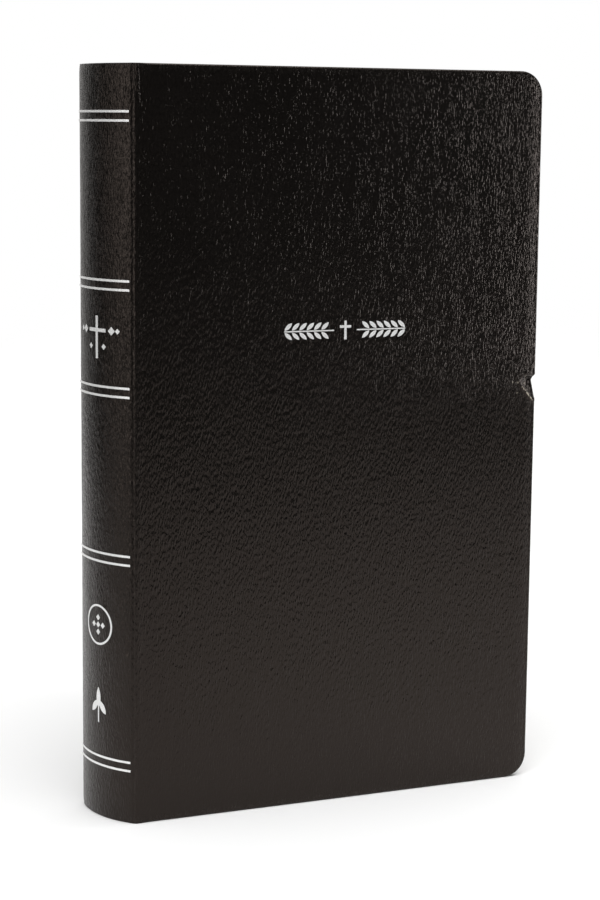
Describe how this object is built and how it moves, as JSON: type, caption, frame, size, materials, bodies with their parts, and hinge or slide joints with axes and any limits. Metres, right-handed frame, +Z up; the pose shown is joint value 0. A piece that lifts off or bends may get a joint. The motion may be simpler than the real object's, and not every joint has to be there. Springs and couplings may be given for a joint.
{
  "type": "bible",
  "caption": "Personal-size bible in a flexible leather-look case, with opening covers, turning leaves and sewn sections, standing on its tail with the front cover ajar.",
  "frame": {"origin": "middle of the standing footprint, on the surface the tail stands on", "axes": "+Z up the spine to the head, +X from the spine to the fore edge along the text block, +Y through the block to the back cover"},
  "size_m": [0.1313, 0.0638, 0.215],
  "materials": {
    "leather_look": "fine pebbled grain, satin black",
    "card": "dense grey card",
    "endpaper": "smooth off-white",
    "bible_paper": "thin, matt, off-white",
    "coated_paper": "coated, soft sheen",
    "mull_cloth": "open-weave cotton gauze",
    "lining_paper": "kraft",
    "thread": "waxed",
    "band_cloth": "woven, black and white",
    "silver_foil": "hot-stamped bright silver"
  },
  "bodies": {
    "text_block": {"section_05": "bible_paper", "section_06": "bible_paper", "section_07": "bible_paper", "section_08": "bible_paper", "section_09": "bible_paper", "section_10": "bible_paper", "section_11": "bible_paper", "section_12": "bible_paper", "section_13": "bible_paper", "spine_cover_skin": "leather_look", "spine_inlay": "card", "spine_mull": "mull_cloth", "spine_liner": "lining_paper", "sewing_thread": "thread", "headband": "band_cloth", "tailband": "band_cloth", "spine_foil_rules": "silver_foil", "spine_foil_cross": "silver_foil", "spine_foil_emblem": "silver_foil", "spine_foil_leaf": "silver_foil"},
    "front_cover": {"front_cover_skin": "leather_look", "front_board": "card", "front_pastedown": "endpaper", "front_foil_ornament": "silver_foil"},
    "front_flyleaf": {"front_flyleaf": "endpaper"},
    "title_leaf": {"title_leaf": "bible_paper"},
    "section_01": {"section_01": "bible_paper"},
    "section_02": {"section_02": "bible_paper"},
    "section_03": {"section_03": "bible_paper"},
    "section_04": {"section_04": "bible_paper"},
    "back_cover": {"back_cover_skin": "leather_look", "back_board": "card", "back_pastedown": "endpaper"},
    "back_flyleaf": {"back_flyleaf": "endpaper"},
    "map_section": {"map_section": "coated_paper"},
    "section_14": {"section_14": "bible_paper"}
  },
  "joints": [
    {"name": "front_cover_hinge", "type": "hinge", "parent": "text_block", "child": "front_cover", "pos_m": [-0.06222, 0.00585, 0.1075], "axis": [0, 0, -1], "range_deg": [-17.2, 162.8]},
    {"name": "front_flyleaf_turn", "type": "hinge", "parent": "text_block", "child": "front_flyleaf", "pos_m": [-0.06222, 0.00585, 0.1075], "axis": [0, 0, -1], "range_deg": [-12.9, 122.1]},
    {"name": "title_leaf_turn", "type": "hinge", "parent": "text_block", "child": "title_leaf", "pos_m": [-0.06222, 0.00585, 0.1075], "axis": [0, 0, -1], "range_deg": [-8.6, 81.4]},
    {"name": "section_01_turn", "type": "hinge", "parent": "text_block", "child": "section_01", "pos_m": [-0.06222, 0.00585, 0.1075], "axis": [0, 0, -1], "range_deg": [-5.5, 52.1]},
    {"name": "section_02_turn", "type": "hinge", "parent": "text_block", "child": "section_02", "pos_m": [-0.06222, 0.00585, 0.1075], "axis": [0, 0, -1], "range_deg": [-3.44, 32.56]},
    {"name": "section_03_turn", "type": "hinge", "parent": "text_block", "child": "section_03", "pos_m": [-0.06222, 0.00585, 0.1075], "axis": [0, 0, -1], "range_deg": [-2.06, 19.54]},
    {"name": "section_04_turn", "type": "hinge", "parent": "text_block", "child": "section_04", "pos_m": [-0.06222, 0.00585, 0.1075], "axis": [0, 0, -1], "range_deg": [-1.03, 9.77]},
    {"name": "back_cover_hinge", "type": "hinge", "parent": "text_block", "child": "back_cover", "pos_m": [-0.06222, 0.03195, 0.1075], "axis": [0, 0, 1], "range_deg": [0, 180]},
    {"name": "back_flyleaf_turn", "type": "hinge", "parent": "text_block", "child": "back_flyleaf", "pos_m": [-0.06222, 0.03195, 0.1075], "axis": [0, 0, 1], "range_deg": [0, 135]},
    {"name": "map_section_turn", "type": "hinge", "parent": "text_block", "child": "map_section", "pos_m": [-0.06222, 0.03195, 0.1075], "axis": [0, 0, 1], "range_deg": [0, 90]},
    {"name": "section_14_turn", "type": "hinge", "parent": "text_block", "child": "section_14", "pos_m": [-0.06222, 0.03195, 0.1075], "axis": [0, 0, 1], "range_deg": [0, 50.4]}
  ],
  "couplings": [
    {"joint": "front_flyleaf_turn", "follows": "front_cover_hinge", "ratio": 0.75},
    {"joint": "title_leaf_turn", "follows": "front_cover_hinge", "ratio": 0.5},
    {"joint": "section_01_turn", "follows": "front_cover_hinge", "ratio": 0.32},
    {"joint": "section_02_turn", "follows": "front_cover_hinge", "ratio": 0.2},
    {"joint": "section_03_turn", "follows": "front_cover_hinge", "ratio": 0.12},
    {"joint": "section_04_turn", "follows": "front_cover_hinge", "ratio": 0.06},
    {"joint": "back_flyleaf_turn", "follows": "back_cover_hinge", "ratio": 0.75},
    {"joint": "map_section_turn", "follows": "back_cover_hinge", "ratio": 0.5},
    {"joint": "section_14_turn", "follows": "back_cover_hinge", "ratio": 0.28}
  ]
}
